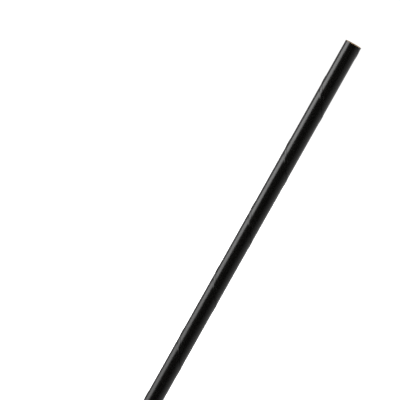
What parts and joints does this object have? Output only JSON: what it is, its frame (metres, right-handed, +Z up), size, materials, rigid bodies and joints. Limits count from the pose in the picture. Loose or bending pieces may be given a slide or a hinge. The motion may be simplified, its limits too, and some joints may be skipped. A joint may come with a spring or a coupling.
{
  "type": "paper drinking straw",
  "caption": "Straight black paper drinking straw, spiral wound from strips glued into one wall, open at both square-cut ends.",
  "frame": {"origin": "in the middle of the dipping end, on the surface the straw stands on", "axes": "+Z up the straw to the drinking end, +X the side where the lap's edge is 22.6 mm below that end; the wrap is a left-handed helix about Z"},
  "size_m": [0.0062, 0.0062, 0.197],
  "materials": {
    "black_paper": "dyed black outside with a soft satin sheen, cut ends and core pale natural paper"
  },
  "bodies": {
    "root": {"straw": "black_paper"}
  },
  "joints": []
}
